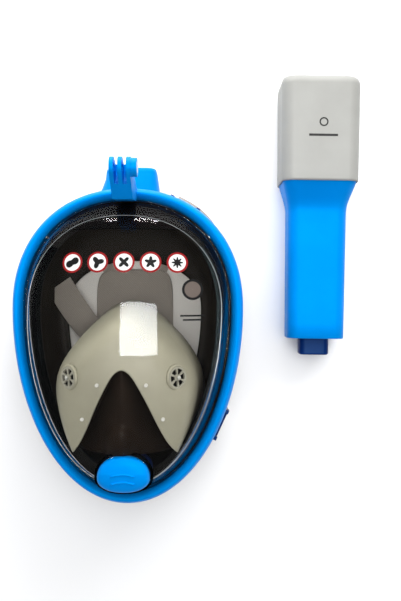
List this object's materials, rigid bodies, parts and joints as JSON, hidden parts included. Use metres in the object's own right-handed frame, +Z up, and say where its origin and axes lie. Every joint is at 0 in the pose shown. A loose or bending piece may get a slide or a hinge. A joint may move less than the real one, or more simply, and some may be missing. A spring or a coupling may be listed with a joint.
{
  "type": "full face snorkel",
  "caption": "Full face diving mask with a clear domed visor, nose pocket, chin drain valve, camera fork and head harness, beside its detached dry-top breathing tube.",
  "frame": {"origin": "middle of the whole set's footprint, on the surface that it rests on", "axes": "+X across the mask towards the breathing tube, +Y towards the top of the head and the tube's dry top, +Z up from the resting surface, out through the visor"},
  "size_m": [0.2764, 0.3423, 0.1195],
  "materials": {
    "blue_plastic": "satin moulded",
    "navy_plastic": "satin moulded",
    "clear_visor": "polished clear polycarbonate",
    "black_gloss": "gloss",
    "black_plastic": "satin",
    "black_silicone": "satin silicone",
    "smoke_duct": "clear smoked plastic",
    "grey_silicone": "translucent satin silicone",
    "white_plastic": "satin",
    "clear_silicone": "translucent soft silicone",
    "steel": "plain stainless",
    "grey_plastic": "satin moulded",
    "strap_webbing": "elastic webbing",
    "float_foam": "closed-cell foam"
  },
  "bodies": {
    "mask": {"front_bezel": "blue_plastic", "rear_ring": "navy_plastic", "visor": "clear_visor", "visor_liner": "black_gloss", "inner_frame": "black_plastic", "left_exhale_duct": "smoke_duct", "right_exhale_duct": "smoke_duct", "face_skirt": "black_silicone", "nose_pocket": "grey_silicone", "pocket_studs": "white_plastic", "left_inhale_seat": "white_plastic", "right_inhale_seat": "white_plastic", "chin_valve_housing": "navy_plastic", "chin_valve_gasket": "black_silicone", "chin_valve_cap": "blue_plastic", "frame_screws": "steel", "clip_pins": "steel", "camera_fork": "blue_plastic", "camera_nut": "steel", "snorkel_socket": "blue_plastic", "socket_gasket": "black_silicone", "rear_pad": "strap_webbing", "upper_left_strap": "strap_webbing", "upper_right_strap": "strap_webbing", "lower_left_strap": "strap_webbing", "lower_right_strap": "strap_webbing"},
    "breathing_tube": {"snorkel_tube": "blue_plastic", "tail_plug": "navy_plastic", "cap_shell": "grey_plastic", "float_cage": "black_plastic", "float_rod": "steel"},
    "dry_top_float": {"dry_top_float": "float_foam", "float_seal": "black_silicone"},
    "chin_valve_disc": {"chin_valve_disc": "clear_silicone"},
    "left_inhale_disc": {"left_inhale_disc": "clear_silicone"},
    "right_inhale_disc": {"right_inhale_disc": "clear_silicone"},
    "upper_left_clip": {"upper_left_clip": "navy_plastic"},
    "upper_right_clip": {"upper_right_clip": "navy_plastic"},
    "lower_left_clip": {"lower_left_clip": "navy_plastic"},
    "lower_right_clip": {"lower_right_clip": "navy_plastic"}
  },
  "joints": [
    {"name": "tube_lift", "type": "slide", "parent": "mask", "child": "breathing_tube", "axis": [0, 0, 1], "range_m": [0, 0.25]},
    {"name": "float_rise", "type": "slide", "parent": "breathing_tube", "child": "dry_top_float", "axis": [0.014, 0.9999, 0], "range_m": [0, 0.0078]},
    {"name": "chin_valve_lift", "type": "slide", "parent": "mask", "child": "chin_valve_disc", "axis": [0, 0, 1], "range_m": [0, 0.0012], "stiffness_N_per_m": 40, "springref_m": -0.0005},
    {"name": "left_inhale_lift", "type": "slide", "parent": "mask", "child": "left_inhale_disc", "axis": [0.682, 0, -0.7314], "range_m": [0, 0.001], "stiffness_N_per_m": 40, "springref_m": -0.0005},
    {"name": "right_inhale_lift", "type": "slide", "parent": "mask", "child": "right_inhale_disc", "axis": [-0.682, 0, -0.7314], "range_m": [0, 0.001], "stiffness_N_per_m": 40, "springref_m": -0.0005},
    {"name": "upper_left_clip_swing", "type": "hinge", "parent": "mask", "child": "upper_left_clip", "pos_m": [-0.09175, 0.0633, 0.041], "axis": [0.891, 0.454, 0], "range_deg": [-8, 55]},
    {"name": "upper_right_clip_swing", "type": "hinge", "parent": "mask", "child": "upper_right_clip", "pos_m": [-0.00475, 0.0633, 0.041], "axis": [0.891, -0.454, 0], "range_deg": [-8, 55]},
    {"name": "lower_left_clip_swing", "type": "hinge", "parent": "mask", "child": "lower_left_clip", "pos_m": [-0.11975, -0.112, 0.041], "axis": [-0.4163, 0.9092, 0], "range_deg": [-8, 55]},
    {"name": "lower_right_clip_swing", "type": "hinge", "parent": "mask", "child": "lower_right_clip", "pos_m": [0.02325, -0.112, 0.041], "axis": [-0.4163, -0.9092, 0], "range_deg": [-8, 55]}
  ]
}
